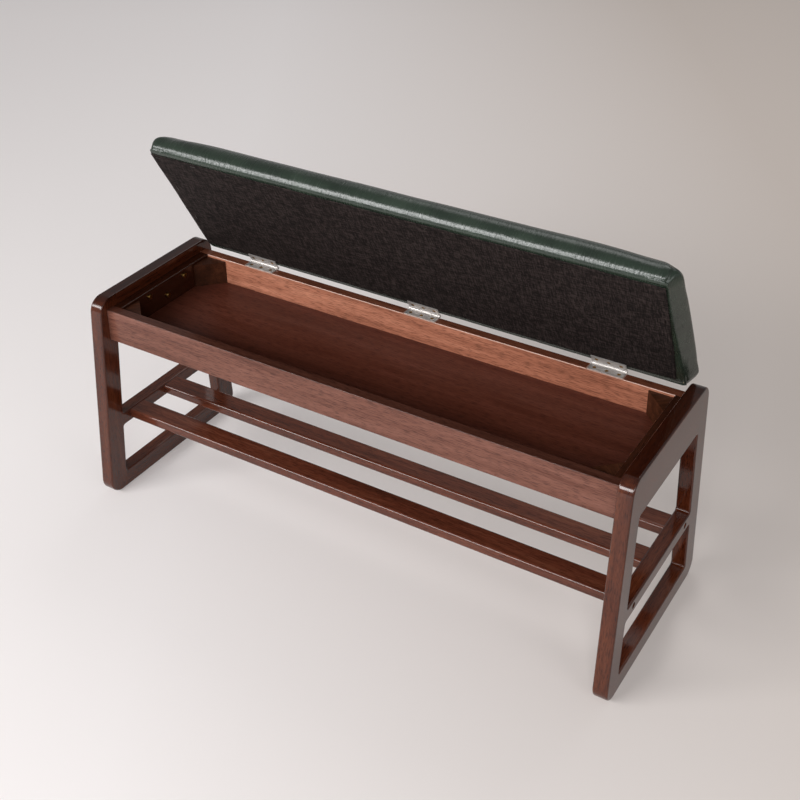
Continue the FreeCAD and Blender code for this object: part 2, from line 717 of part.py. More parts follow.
SCREW_PLACES = [x for step in HINGES.values() for x in leaf_screw_places(step)]
rail_line = f"{PIN_Y} - {LEAF_SCREW_LINE}"
lid_line = f"-{LEAF_SCREW_LINE}"
copies("hinge_rail_screws", screw, [pointing(x, rail_line, RAIL_TOP, (0, 0, 1)) for x in SCREW_PLACES])
lid_screws = copies("hinge_lid_screws", screw,
                    [pointing(x, lid_line, "leaf_gap / 2", (0, 0, -1)) for x in SCREW_PLACES])
place_on_lid(lid_screws)

# Lid: board, foam, wrapped cover and dust cover, drawn shut about the hinge pin


def plan(inset):
    """Half length, rear and front of the lid's plan, drawn in by an inset."""
    return (f"{LID_HALF_LENGTH} - ({inset})", f"-(lid_rear_gap + {inset})", f"-({LID_FRONT} - ({inset}))")


def plate_on_lid(name, inset, z):
    half, rear, front = plan(inset)
    return box(name, (f"-({half})", half), (front, rear), z)


def lid_pilots(name, low, high):
    """Holes for the lid leaves' screws between two heights."""
    return [rod(name, "Z", PILOT_HOLE, (x, lid_line, low), f"({high}) - ({low})") for x in SCREW_PLACES]


def rounded_rectangle(inset, height):
    """Wire of the lid's plan with round corners at a height above the hem."""
    half, rear, front = (value(text) for text in plan(f"{inset:.6f}"))
    radius = value("lid_corner_radius")
    z = value(HEM_PLANE) + height
    middles = [
        (half - radius, rear - radius, 0),
        (radius - half, rear - radius, 90),
        (radius - half, front + radius, 180),
        (half - radius, front + radius, 270),
    ]
    arcs = []
    for x, y, start in middles:
        points = []
        for angle in (start, start + 45, start + 90):
            turn = math.radians(angle)
            points.append(FreeCAD.Vector(x + radius * math.cos(turn), y + radius * math.sin(turn), z))
        arcs.append(Part.Arc(*points).toShape())
    edges = []
    for arc, following in zip(arcs, arcs[1:] + arcs[:1]):
        edges.append(arc)
        edges.append(Part.LineSegment(arc.Vertexes[-1].Point, following.Vertexes[0].Point).toShape())
    return Part.Wire(edges)


UNDER_STEPS = (0, 22.5, 45, 67.5)
SIDE_STEPS = (0, 0.33, 0.67, 1)
ARC_STEPS = (18, 36, 54, 72, 90)
CROWN_STEPS = (18, 36, 54, 72, 90)


def pillow(skin, floor, under):
    """Cushion's form, a skin's thickness in from its outside and from a floor up, its lower edge rounded."""
    radius = value("cushion_edge_radius")
    height = value("cushion_height")
    crown = value("cushion_crown")
    swell = value("cushion_side_swell")
    shoulder = height - radius

    def bulge(up):
        return swell * math.sin(math.radians(90) * up / shoulder)

    sections = []
    for angle in UNDER_STEPS if under else ():
        turn = math.radians(angle)
        up = floor + under * (1 - math.cos(turn))
        sections.append((up, skin + under * (1 - math.sin(turn)) - bulge(up)))
    for share in SIDE_STEPS:
        up = floor + under + (shoulder - floor - under) * share
        sections.append((up, skin - bulge(up)))
    for angle in ARC_STEPS:
        turn = math.radians(angle)
        rise = (radius - skin) * math.sin(turn)
        sections.append((shoulder + rise, radius - (radius - skin + swell) * math.cos(turn)))
    for angle in CROWN_STEPS:
        reach = radius + value("cushion_crown_reach") * angle / CROWN_STEPS[-1]
        sections.append((height - skin + crown * math.sin(math.radians(angle)), reach))
    return Part.makeLoft([rounded_rectangle(inset, up) for up, inset in sections], True, True)


half, rear, front = plan("cover_thickness + board_clearance")
board_outline = [(f"-({half})", front), (half, front), (half, rear), (f"-({half})", rear)]
board_blank = padded_body("lid_board_blank", "XY_Plane", [board_outline], "board_thickness")
rounded(board_blank, lambda edge: edge.BoundBox.ZLength > value("board_thickness") / 2, "lid_corner_radius")
rounded(board_blank, lambda edge: edge.BoundBox.ZMax < TOUCH, "board_edge_round")
place(board_blank, z=BOARD_BOTTOM)
board_pilots = lid_pilots("board_pilot", BOARD_BOTTOM, "leaf_gap / 2 + screw_length + screw_clearance")
node(cut("lid_board", board_blank, board_pilots), "lid_board")

cover_skin = value("cover_thickness")
foam_floor = value("cover_thickness + board_thickness")
outside = pillow(0, 0, value("cushion_under_round"))
inside = pillow(cover_skin, cover_skin, value("cushion_under_round") - cover_skin)
half, rear, front = (value(text) for text in plan("cover_hem"))
hem_corner = FreeCAD.Vector(-half, front, value(HEM_PLANE))
hem_opening = Part.makeBox(2 * half, rear - front, 2 * cover_skin, hem_corner)
wrap = doc.addObject("Part::Feature", "cushion_wrap")
wrap.Shape = outside.cut(inside).cut(hem_opening)
node(cut("cushion_cover", wrap, lid_pilots("hem_pilot", HEM_PLANE, BOARD_BOTTOM)), "cushion_cover")

foam = doc.addObject("Part::Feature", "foam_pad")
foam.Shape = pillow(cover_skin + value("foam_clearance"), foam_floor, 0)
node(foam, "foam_pad")

dust_sheet = plate_on_lid("dust_cover_sheet", "dust_cover_inset", (LEAF_OUTER, HEM_PLANE))
node(cut("dust_cover", dust_sheet, lid_pilots("dust_pilot", LEAF_OUTER, HEM_PLANE)), "dust_cover")
for item in nodes[-4:]:
    place_on_lid(item)

# Staples round the dust cover's edge, crowns outside and legs in the board


def staple():
    crown, wire, length = value("staple_crown"), value("staple_wire"), value("staple_leg")
    bar = Part.makeBox(crown, wire, wire, FreeCAD.Vector(-crown / 2, -wire / 2, -wire))
    for x in (-crown / 2, crown / 2 - wire):
        bar = bar.fuse(Part.makeBox(wire, wire, length, FreeCAD.Vector(x, -wire / 2, 0)))
    return bar.removeSplitter()


def staple_places():
    half, rear, front = (value(text) for text in plan("staple_inset"))
    pitch = value("staple_pitch")
    along_count = int(2 * half // pitch)
    across_count = int((rear - front) // pitch)
    hinge_half = value("hinge_length / 2 + staple_crown")
    hinges = [value(hinge_centre(step)) for step in HINGES.values()]
    for step in range(along_count + 1):
        x = -half + 2 * half * step / along_count
        yield x, front, 0
        if all(abs(x - middle) > hinge_half for middle in hinges):
            yield x, rear, 0
    for step in range(1, across_count):
        y = front + (rear - front) * step / across_count
        yield -half, y, 90
        yield half, y, 90


wires = []
for x, y, angle in staple_places():
    shape = staple()
    turn = FreeCAD.Rotation(FreeCAD.Vector(0, 0, 1), angle)
    shape.Placement = FreeCAD.Placement(FreeCAD.Vector(x, y, value(LEAF_OUTER)), turn)
    wires.append(shape)
staples = doc.addObject("Part::Feature", "cover_staples")
staples.Shape = Part.makeCompound(wires)
place_on_lid(node(staples, "cover_staples"))

doc.recompute()
for item in doc.Objects:
    if "Invalid" in item.State or "Error" in item.State:
        raise RuntimeError(f"{item.Label} failed: {item.State}")
for item in nodes:
    if item.Shape.isNull() or not item.Shape.isValid() or not item.Shape.Solids:
        raise RuntimeError(f"{item.Label} has no valid solid")

os.makedirs("parts", exist_ok=True)
for item in nodes:
    item.Shape.exportStep(f"parts/{item.Label}.step")
    print(f"{item.Label}: {len(item.Shape.Solids)} solids, {item.Shape.Volume:.0f} mm3")
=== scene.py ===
import json
import math

import bpy
from mathutils import Matrix, Vector, noise


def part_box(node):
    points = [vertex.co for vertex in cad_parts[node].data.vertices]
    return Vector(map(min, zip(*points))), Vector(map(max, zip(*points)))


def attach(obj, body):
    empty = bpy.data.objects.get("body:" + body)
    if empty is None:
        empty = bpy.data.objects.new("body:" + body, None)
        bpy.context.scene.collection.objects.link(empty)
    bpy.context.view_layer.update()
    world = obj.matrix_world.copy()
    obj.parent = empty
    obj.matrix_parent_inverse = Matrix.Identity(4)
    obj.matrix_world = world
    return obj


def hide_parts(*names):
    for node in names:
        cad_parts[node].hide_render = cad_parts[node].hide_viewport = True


# Shoe storage bench with a padded lid standing open.
# Metres. X runs along the bench, -Y is the front, Z is up from the floor.

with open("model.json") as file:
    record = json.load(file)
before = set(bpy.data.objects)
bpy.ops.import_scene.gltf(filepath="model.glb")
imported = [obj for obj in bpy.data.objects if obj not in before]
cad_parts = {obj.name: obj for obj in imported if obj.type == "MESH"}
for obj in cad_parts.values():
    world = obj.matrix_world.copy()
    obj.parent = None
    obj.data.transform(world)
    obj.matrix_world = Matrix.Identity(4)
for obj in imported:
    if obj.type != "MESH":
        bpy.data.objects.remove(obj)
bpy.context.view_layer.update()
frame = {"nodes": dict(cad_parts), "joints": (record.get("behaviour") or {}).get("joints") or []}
scene = bpy.context.scene
bpy.ops.object.select_all(action="DESELECT")

LID_HINGE = frame["joints"][0]
PIN = Vector(LID_HINGE["pos_m"])
LID_OPEN = math.radians(60.5)      # the lid's angle from shut, as it stands in the photograph


def colour(code):
    """An sRGB hex colour as linear red, green, blue and alpha."""
    parts = [int(code[i:i + 2], 16) / 255 for i in (1, 3, 5)]
    return tuple(c / 12.92 if c <= 0.04045 else ((c + 0.055) / 1.055) ** 2.4 for c in parts) + (1.0,)


def add(owner, kind, settings=None, inputs=None):
    """Add a node to a material or to the room, set its settings, and set or link its inputs."""
    made = owner.node_tree.nodes.new(kind)
    for name, setting in (settings or {}).items():
        setattr(made, name, setting)
    for name, given in (inputs or {}).items():
        if isinstance(given, bpy.types.NodeSocket):
            owner.node_tree.links.new(given, made.inputs[name])
        else:
            made.inputs[name].default_value = given
    return made


def ramp(node, stops):
    """Set a colour ramp's stops from (position, hex) pairs."""
    band = node.color_ramp
    while len(band.elements) > len(stops):
        band.elements.remove(band.elements[-1])
    while len(band.elements) < len(stops):
        band.elements.new(1.0)
    for element, (place, code) in zip(band.elements, stops):
        element.position = place
        element.color = colour(code)
    return node


def start_material(name):
    material = bpy.data.materials.new(name)
    material.use_nodes = True
    material.node_tree.nodes.clear()
    return material


def close_material(material, shader):
    add(material, "ShaderNodeOutputMaterial", inputs={"Surface": shader.outputs["BSDF"]})
    return material


def per_mm(size_mm):
    """Noise or Voronoi scale that gives features of a size in millimetres."""
    return 1000.0 / size_mm


# Finishes

EDGE_HIGHLIGHT_LINE = 0.0016                # height of the painted highlight line along a rounded edge


def stained_wood(name, turn, shift, tones, coat, top_shade_heights=None, edge_highlight=0.0):
    """Rubberwood stained dark walnut, under clear lacquer: fine short pores along the grain, soft bands
    a finger wide, slow changes of tone, and a coat that mirrors the floor. turn brings the grain to X,
    coat is the lacquer's weight and roughness, and between the two shade heights the top is painted darker as
    painted shade.
    The last argument is how pale a painted highlight line shows just below them, where light catches the
    rounded edge."""
    light, middle, dark = tones
    wood = start_material(name)
    place = add(wood, "ShaderNodeTexCoord")
    lie = add(wood, "ShaderNodeMapping", inputs={
        "Vector": place.outputs["Object"], "Rotation": turn, "Location": shift})
    # bands: 14 mm across the grain, drawn out fifteen times along it
    stretch = add(wood, "ShaderNodeMapping", inputs={
        "Vector": lie.outputs["Vector"], "Scale": (1 / 15, 1.0, 1.0)})
    bands = add(wood, "ShaderNodeTexNoise", inputs={
        "Vector": stretch.outputs["Vector"], "Scale": per_mm(14), "Detail": 5.0, "Roughness": 0.62,
        "Distortion": 0.4})
    tone = ramp(add(wood, "ShaderNodeValToRGB", inputs={"Fac": bands.outputs["Fac"]}),
                [(0.30, dark), (0.52, middle), (0.74, light)])
    # pores: under half a millimetre wide in the real wood, drawn 1.3 mm wide and 16 mm long so that they show
    comb = add(wood, "ShaderNodeMapping", inputs={
        "Vector": lie.outputs["Vector"], "Scale": (1 / 12, 1.0, 1.0)})
    pores = add(wood, "ShaderNodeTexNoise", inputs={
        "Vector": comb.outputs["Vector"], "Scale": per_mm(1.3), "Detail": 2.0, "Roughness": 0.5})
    fleck = ramp(add(wood, "ShaderNodeValToRGB", inputs={"Fac": pores.outputs["Fac"]}),
                 [(0.34, "#6a605c"), (0.50, "#f2f0ef"), (0.66, "#ffffff")])
    grain = add(wood, "ShaderNodeMix", {"data_type": "RGBA", "blend_type": "MULTIPLY"},
                {"Factor": 0.6, "A": tone.outputs["Color"], "B": fleck.outputs["Color"]})
    # slow change of tone from board to board, a hand wide
    cloud = add(wood, "ShaderNodeTexNoise", inputs={
        "Vector": stretch.outputs["Vector"], "Scale": per_mm(90), "Detail": 2.0})
    shade = ramp(add(wood, "ShaderNodeValToRGB", inputs={"Fac": cloud.outputs["Fac"]}),
                 [(0.3, "#d8cfca"), (0.7, "#ffffff")])
    tint = add(wood, "ShaderNodeMix", {"data_type": "RGBA", "blend_type": "MULTIPLY"},
               {"Factor": 0.8, "A": grain.outputs["Result"], "B": shade.outputs["Color"]})
    # painted shade: the top is darkened between the two heights, and a painted highlight line lies just below
    # them
    if top_shade_heights:
        height = add(wood, "ShaderNodeSeparateXYZ", inputs={"Vector": place.outputs["Object"]})
        top_shade_mask = add(wood, "ShaderNodeMapRange", inputs={
            "Value": height.outputs["Z"], "From Min": top_shade_heights[0], "From Max": top_shade_heights[1]})
        edge_highlight_mask = add(wood, "ShaderNodeMapRange", inputs={
            "Value": height.outputs["Z"], "From Min": top_shade_heights[0] - EDGE_HIGHLIGHT_LINE,
            "From Max": top_shade_heights[0], "To Max": edge_highlight})
        top_shade_tone = add(wood, "ShaderNodeMix", {"data_type": "RGBA", "blend_type": "MULTIPLY"},
                    {"Factor": 1.0, "A": tint.outputs["Result"], "B": colour("#a89b94")})
        highlit_tint = add(wood, "ShaderNodeMix", {"data_type": "RGBA"}, {
            "Factor": edge_highlight_mask.outputs["Result"], "A": tint.outputs["Result"], "B": colour("#e0bfb0")})
        tint = add(wood, "ShaderNodeMix", {"data_type": "RGBA"}, {
            "Factor": top_shade_mask.outputs["Result"], "A": highlit_tint.outputs["Result"], "B": top_shade_tone.outputs["Result"]})
    relief = add(wood, "ShaderNodeBump", inputs={
        "Height": pores.outputs["Fac"], "Strength": 0.10, "Distance": 0.0004})
    return close_material(wood, add(wood, "ShaderNodeBsdfPrincipled", inputs={
        "Base Color": tint.outputs["Result"], "Roughness": 0.42, "Normal": relief.outputs["Normal"],
        "Specular IOR Level": 0.0, "Coat Weight": coat[0], "Coat Roughness": coat[1]}))


def bare_wood(name, turn, light, dark):
    """Unstained beech or plywood: pale, matt, with faint streaks along the grain."""
    wood = start_material(name)
    place = add(wood, "ShaderNodeTexCoord")
    lie = add(wood, "ShaderNodeMapping", inputs={
        "Vector": place.outputs["Object"], "Rotation": turn, "Scale": (1 / 10, 1.0, 1.0)})
    streak = add(wood, "ShaderNodeTexNoise", inputs={
        "Vector": lie.outputs["Vector"], "Scale": per_mm(4), "Detail": 3.0})
    tone = ramp(add(wood, "ShaderNodeValToRGB", inputs={"Fac": streak.outputs["Fac"]}),
                [(0.35, dark), (0.65, light)])
    return close_material(wood, add(wood, "ShaderNodeBsdfPrincipled", inputs={
        "Base Color": tone.outputs["Color"], "Roughness": 0.6, "IOR": 1.5}))


def plated_steel(name, light, dark, rough, metal=1.0):
    """Zinc-plated steel: a bright metal with slightly cloudy plating and fine rolling marks along X.
    Below 1, metal leaves some of the plating under its dull pale film, which looks bright from every side."""
    steel = start_material(name)
    place = add(steel, "ShaderNodeTexCoord")
    # marks: a few tenths of a millimetre wide in the real plating, drawn 1.5 mm so that they show
    lie = add(steel, "ShaderNodeMapping", inputs={
        "Vector": place.outputs["Object"], "Scale": (1 / 8, 1.0, 1.0)})
    marks = add(steel, "ShaderNodeTexNoise", inputs={
        "Vector": lie.outputs["Vector"], "Scale": per_mm(1.5), "Detail": 3.0})
    tone = ramp(add(steel, "ShaderNodeValToRGB", inputs={"Fac": marks.outputs["Fac"]}),
                [(0.3, dark), (0.7, light)])
    satin = add(steel, "ShaderNodeMapRange", inputs={
        "Value": marks.outputs["Fac"], "To Min": rough - 0.08, "To Max": rough + 0.1})
    return close_material(steel, add(steel, "ShaderNodeBsdfPrincipled", inputs={
        "Base Color": tone.outputs["Color"], "Metallic": metal, "Roughness": satin.outputs["Result"]}))


def green_vinyl(name):
    """Embossed upholstery vinyl: dark green, glossy, with a fine leather grain and soft pull marks
    across the rolled edge, which feather the highlights."""
    vinyl = start_material(name)
    place = add(vinyl, "ShaderNodeTexCoord")
    # leather grain: cells 1.2 mm across in the real vinyl, drawn 2.6 mm so that they show
    grain = add(vinyl, "ShaderNodeTexVoronoi", {"feature": "F1"}, {
        "Vector": place.outputs["Object"], "Scale": per_mm(2.6)})
    # pull marks: 4 mm apart and eight times as long, across the lid
    pull = add(vinyl, "ShaderNodeMapping", inputs={
        "Vector": place.outputs["Object"], "Scale": (1.0, 0.12, 0.12)})
    creases = add(vinyl, "ShaderNodeTexNoise", inputs={
        "Vector": pull.outputs["Vector"], "Scale": per_mm(4), "Detail": 4.0, "Roughness": 0.6})
    cloud = add(vinyl, "ShaderNodeTexNoise", inputs={
        "Vector": place.outputs["Object"], "Scale": per_mm(60), "Detail": 3.0})
    tone = ramp(add(vinyl, "ShaderNodeValToRGB", inputs={"Fac": cloud.outputs["Fac"]}),
                [(0.3, "#1f2821"), (0.55, "#29342b"), (0.8, "#364237")])
    gloss = add(vinyl, "ShaderNodeMapRange", inputs={
        "Value": creases.outputs["Fac"], "From Min": 0.3, "From Max": 0.7, "To Min": 0.18, "To Max": 0.32})
    pebble = add(vinyl, "ShaderNodeBump", inputs={
        "Height": grain.outputs["Distance"], "Strength": 0.10, "Distance": 0.0005})
    relief = add(vinyl, "ShaderNodeBump", inputs={
        "Height": creases.outputs["Fac"], "Strength": 0.5, "Distance": 0.0018,
        "Normal": pebble.outputs["Normal"]})
    return close_material(vinyl, add(vinyl, "ShaderNodeBsdfPrincipled", inputs={
        "Base Color": tone.outputs["Color"], "Roughness": gloss.outputs["Result"],
        "Normal": relief.outputs["Normal"], "IOR": 1.52}))


def dust_cloth(name):
    """Thin black plain-weave cloth: uneven threads both ways, lighter than the gaps, dull and dusty."""
    cloth = start_material(name)
    place = add(cloth, "ShaderNodeTexCoord")
    lie = add(cloth, "ShaderNodeMapping", inputs={
        "Vector": place.outputs["Object"], "Rotation": (LID_OPEN, 0.0, 0.0)})
    # threads 0.5 mm apart in the real cloth, drawn about 1.3 mm apart so that the weave shows
    along = add(cloth, "ShaderNodeMapping", inputs={
        "Vector": lie.outputs["Vector"], "Scale": (0.1, 1.0, 1.0)})
    across = add(cloth, "ShaderNodeMapping", inputs={
        "Vector": lie.outputs["Vector"], "Scale": (1.0, 0.1, 1.0)})
    weft = add(cloth, "ShaderNodeTexNoise", inputs={
        "Vector": along.outputs["Vector"], "Scale": per_mm(1.3), "Detail": 1.0, "Roughness": 0.6})
    warp = add(cloth, "ShaderNodeTexNoise", inputs={
        "Vector": across.outputs["Vector"], "Scale": per_mm(1.3), "Detail": 1.0, "Roughness": 0.6})
    weave = add(cloth, "ShaderNodeMix", {"data_type": "FLOAT"}, {
        "Factor": 0.5, "A": warp.outputs["Fac"], "B": weft.outputs["Fac"]})
    tone = ramp(add(cloth, "ShaderNodeValToRGB", inputs={"Fac": weave.outputs["Result"]}),
                [(0.38, "#0f0c0b"), (0.50, "#1f1918"), (0.62, "#3b3230")])
    relief = add(cloth, "ShaderNodeBump", inputs={
        "Height": weave.outputs["Result"], "Strength": 0.3, "Distance": 0.0005})
    return close_material(cloth, add(cloth, "ShaderNodeBsdfPrincipled", inputs={
        "Base Color": tone.outputs["Color"], "Roughness": 0.85, "Normal": relief.outputs["Normal"],
        "Specular IOR Level": 0.12}))


def plain_foam(name):
    """Open-cell polyurethane foam: cream, matt, finely pitted."""
    foam = start_material(name)
    place = add(foam, "ShaderNodeTexCoord")
    cells = add(foam, "ShaderNodeTexVoronoi", inputs={
        "Vector": place.outputs["Object"], "Scale": per_mm(1.5)})
    tone = ramp(add(foam, "ShaderNodeValToRGB", inputs={"Fac": cells.outputs["Distance"]}),
                [(0.1, "#c9bd92"), (0.6, "#e6dcb4")])
    return close_material(foam, add(foam, "ShaderNodeBsdfPrincipled", inputs={
        "Base Color": tone.outputs["Color"], "Roughness": 0.9}))


# Dressing the pieces that come as they are

ALONG_X = (0.0, 0.0, 0.0)
ALONG_Y = (0.0, 0.0, math.radians(-90))
ALONG_Z = (0.0, math.radians(90), 0.0)
FRAME_TONES = ("#6a3822", "#592b19", "#441d0f")
# the end panels' darker tones are partly their own darker boards and partly painted shade for their inner
# faces, which stand out of the light
PANEL_TONES = ("#4a2718", "#3b1d11", "#2b130a")
APRON_TONES = ("#8e6154", "#7e5346", "#684034")
# the rear apron's tones are lighter than the others, partly board-to-board variation and partly painted light
# for the strong light on its inner face
REAR_APRON_TONES = ("#cb8b70", "#b7785f", "#99614b")
SLAT_TONES = ("#7c4a36", "#6a3827", "#532b1d")
TRAY_TONES = ("#6d3d31", "#613427", "#54291d")
BLOCK_TONES = ("#54301f", "#432416", "#321a0f")
# lacquers: coat weight and roughness
GLOSS = (1.0, 0.12)
SATIN = (0.6, 0.2)
DULL = (0.4, 0.35)
# how far below a board's top the painted shade on it is darkest, and how far down the darker painted shade
# reaches
FULL_TOP_SHADE = 0.0003
LEG_SHADE = 0.012
EDGE_SHADE = 0.0018
THIN_SHADE = 0.0008


def dress(names, material):
    for name in names:
        slots = frame["nodes"][name].data.materials
        slots.clear()
        slots.append(material)


def dress_board(name, turn, number, tones, coat=GLOSS, dark_top=None, edge_highlight=0.0):
    """Give a board its own cut of the stained wood, with painted shade darkening its top over a certain
    depth, and a painted highlight line along its edge when one is asked for.
    """
    shift = (0.7 * number, 1.0 * number, 0.3 * number)
    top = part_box(name)[1][2]
    top_shade_heights = (top - dark_top, top - FULL_TOP_SHADE) if dark_top else None
    wood = stained_wood(f"stained_rubberwood_{name}", turn, shift, tones, coat, top_shade_heights, edge_highlight)
    dress([name], wood)


# the tops of the legs, rails and aprons carry painted shade
for number, side in enumerate(("left", "right")):
    dress_board(f"{side}_front_leg", ALONG_Z, 1 + number, FRAME_TONES, dark_top=LEG_SHADE)
    dress_board(f"{side}_rear_leg", ALONG_Z, 3 + number, FRAME_TONES, dark_top=LEG_SHADE)
    dress_board(f"{side}_top_rail", ALONG_Y, 5 + number, FRAME_TONES, dark_top=EDGE_SHADE)
    dress_board(f"{side}_shelf_rail", ALONG_Y, 7 + number, FRAME_TONES)
    dress_board(f"{side}_floor_rail", ALONG_Y, 9 + number, FRAME_TONES)
    dress_board(f"{side}_end_panel", ALONG_Y, 11 + number, PANEL_TONES)
dress_board("front_apron", ALONG_X, 13, APRON_TONES, SATIN, dark_top=EDGE_SHADE)
# the rear apron's inner top edge carries a painted highlight line
dress_board("rear_apron", ALONG_X, 14, REAR_APRON_TONES, SATIN, dark_top=THIN_SHADE, edge_highlight=0.85)
for number, slat in enumerate(("front", "middle", "rear")):
    dress_board(f"{slat}_slat", ALONG_X, 15 + number, SLAT_TONES)
for blocks, angle in ((("front_left", "rear_right"), -45), (("front_right", "rear_left"), 45)):
    for number, block in enumerate(blocks):
        dress_board(f"{block}_corner_block", (0.0, 0.0, math.radians(angle)), 18 + number, BLOCK_TONES, DULL)
dress(["tray_panel"], stained_wood("stained_plywood_tray", ALONG_X, (5.0, 2.0, 0.0), TRAY_TONES, DULL))
dress(["lid_board"], bare_wood("birch_plywood", ALONG_X, "#d8bf93", "#c3a577"))
dress(["left_frame_dowels", "right_frame_dowels", "left_apron_dowels", "right_apron_dowels", "slat_dowels"],
      bare_wood("beech_dowel", ALONG_Y, "#d9b78a", "#c49c6c"))
bright_zinc = plated_steel("bright_zinc_plate", "#c6c2bf", "#a19c99", 0.34, 0.6)
for hinge in ("left", "middle", "right"):
    dress([f"{hinge}_hinge_{piece}" for piece in ("rail_leaf", "lid_leaf", "pin")], bright_zinc)
yellow_zinc = plated_steel("yellow_zinc_plate", "#a8834c", "#7a5a30", 0.30)
dress(["left_box_bolts", "right_box_bolts", "left_frame_inserts", "right_frame_inserts", "shelf_bolts",
       "slat_inserts", "hinge_rail_screws", "hinge_lid_screws"], yellow_zinc)
dress(["cover_staples"], plated_steel("staple_wire", "#6f6d69", "#52504c", 0.4))
dress(["foam_pad"], plain_foam("polyurethane_foam"))


# Padded lid, modelled shut about the hinge pin and then turned to where it stands

HALF_LENGTH = 0.467                 # to the lid's ends at the hem
REAR, FRONT = -0.0035, -0.2849
MIDDLE = (REAR + FRONT) / 2
HEM, SHOULDER, TOP = 0.0026, 0.0241, 0.0561
CORNER = 0.008                      # the lid's corners in plan
ROUND_TOP = 0.032
ROUND_UNDER = 0.004                 # where the vinyl turns under the board
FRONT_SWELL = 0.0085                # how far the pad bulges past the hem's outline
LEFT_SWELL, RIGHT_SWELL = 0.005, 0.014
END_SHOULDER = 0.028                # above the hem, clear of the side frames' tops
CROWN = 0.005                       # how far the middle of the pad stands above its edges
HAIR = 0.0005                       # places this near count as the same
VOXEL = 0.006
SIM_FRAMES = 20
GRIP_HEIGHT, GRIP_FADE = 0.004, 0.012    # the hem is held up to the first, and let go over the second


def only(piece):
    bpy.ops.object.select_all(action="DESELECT")
    piece.select_set(True)
    bpy.context.view_layer.objects.active = piece


def pick(piece, kind, test):
    """In edit mode, select the vertices, edges or faces that pass a test and nothing else."""
    bpy.ops.mesh.select_all(action="DESELECT")
    bpy.ops.object.mode_set(mode="OBJECT")
    for part in getattr(piece.data, kind):
        part.select = test(part)
    bpy.ops.object.mode_set(mode="EDIT")


def ends(piece, edge):
    return [piece.data.vertices[v].co for v in edge.vertices]


def apply_all(piece):
    only(piece)
    for modifier in list(piece.modifiers):
        bpy.ops.object.modifier_apply(modifier=modifier.name)


def settle(piece):
    """Put the piece's place into its mesh."""
    only(piece)
    bpy.ops.object.transform_apply(location=True, rotation=True, scale=True)


def swing_open(piece):
    """Turn a piece that was modelled shut about the hinge pin, with the lid."""
    piece.data.transform(Matrix.Translation(PIN) @ Matrix.Rotation(-LID_OPEN, 4, "X"))
    piece.data.update()


def on_mitre(place):
    """Whether a place lies on the line in which two of the pad's sides meet."""
    from_end = HALF_LENGTH - abs(place.x)
    from_side = (REAR - FRONT) / 2 - abs(place.y - MIDDLE)
    return abs(from_end - from_side) < HAIR


bpy.ops.mesh.primitive_cube_add(size=1.0, location=(0.0, MIDDLE, (HEM + TOP) / 2))
cushion = bpy.context.active_object
cushion.name = "padded_seat"
cushion.scale = (2 * HALF_LENGTH, REAR - FRONT, TOP - HEM)
settle(cushion)
bpy.ops.object.mode_set(mode="EDIT")
bpy.ops.mesh.select_mode(type="EDGE")
pick(cushion, "edges", lambda e: min(p.z for p in ends(cushion, e)) > TOP - HAIR)
bpy.ops.mesh.bevel(offset=ROUND_TOP, segments=9, affect="EDGES")
pick(cushion, "edges", lambda e: all(on_mitre(p) for p in ends(cushion, e))
     and (ends(cushion, e)[0] - ends(cushion, e)[1]).length < (REAR - FRONT) / 2)
bpy.ops.mesh.bevel(offset=CORNER, segments=4, affect="EDGES")
pick(cushion, "edges", lambda e: max(p.z for p in ends(cushion, e)) < HEM + HAIR)
bpy.ops.mesh.bevel(offset=ROUND_UNDER, segments=4, affect="EDGES")
bpy.ops.object.mode_set(mode="OBJECT")
remesh = cushion.modifiers.new("remesh", "REMESH")
remesh.mode = "VOXEL"
remesh.voxel_size = VOXEL
apply_all(cushion)


def puff_up(piece, rise):
    """Blow the pad up against its stapled hem, and keep of that shape as much as gives a certain rise."""
    before = [v.co.copy() for v in piece.data.vertices]
    held = piece.vertex_groups.new(name="stapled_hem")
    for vertex in piece.data.vertices:
        grip = 1.0 - min(1.0, max(0.0, (vertex.co.z - HEM - GRIP_HEIGHT) / GRIP_FADE))
        held.add([vertex.index], grip, "REPLACE")
    cloth = piece.modifiers.new("vinyl", "CLOTH")
    cloth.settings.vertex_group_mass = held.name
    cloth.settings.use_pressure = True
    cloth.settings.uniform_pressure_force = 4.0
    cloth.settings.effector_weights.gravity = 0.0
    cloth.settings.tension_stiffness = 15.0
    cloth.settings.compression_stiffness = 15.0
    cloth.settings.bending_stiffness = 0.5
    cloth.point_cache.frame_start = 1
    cloth.point_cache.frame_end = SIM_FRAMES
    for step in range(1, SIM_FRAMES + 1):
        scene.frame_set(step)
    apply_all(piece)
    moves = [v.co - old for v, old in zip(piece.data.vertices, before)]
    share = rise / max(move.length for move in moves)
    for vertex, old, move in zip(piece.data.vertices, before, moves):
        vertex.co = old + move * share
    scene.frame_set(1)
    piece.vertex_groups.clear()


puff_up(cushion, CROWN)

smooth = cushion.modifiers.new("smooth", "SUBSURF")
smooth.levels = 1
smooth.render_levels = 1
apply_all(cushion)

CORNERS = [(side, out, edge) for side in (-1, 1) for out, edge in ((-1, FRONT), (1, REAR))]
FOLD_ZONE = 0.030                   # how far in from both edges the folded corner starts


def corner_reach(place, corner):
    """How far a place lies outwards from the start of a folded corner, along X and along Y."""
    side, out, edge = corner
    return (place.x - side * (HALF_LENGTH - FOLD_ZONE)) * side, (place.y - edge + out * FOLD_ZONE) * out


def at_a_corner(place):
    return any(min(corner_reach(place, corner)) > 0.0 for corner in CORNERS)


bpy.ops.object.mode_set(mode="EDIT")
bpy.ops.mesh.select_mode(type="FACE")
pick(cushion, "polygons", lambda face: at_a_corner(face.center))
bpy.ops.mesh.subdivide(number_cuts=1)
bpy.ops.object.mode_set(mode="OBJECT")


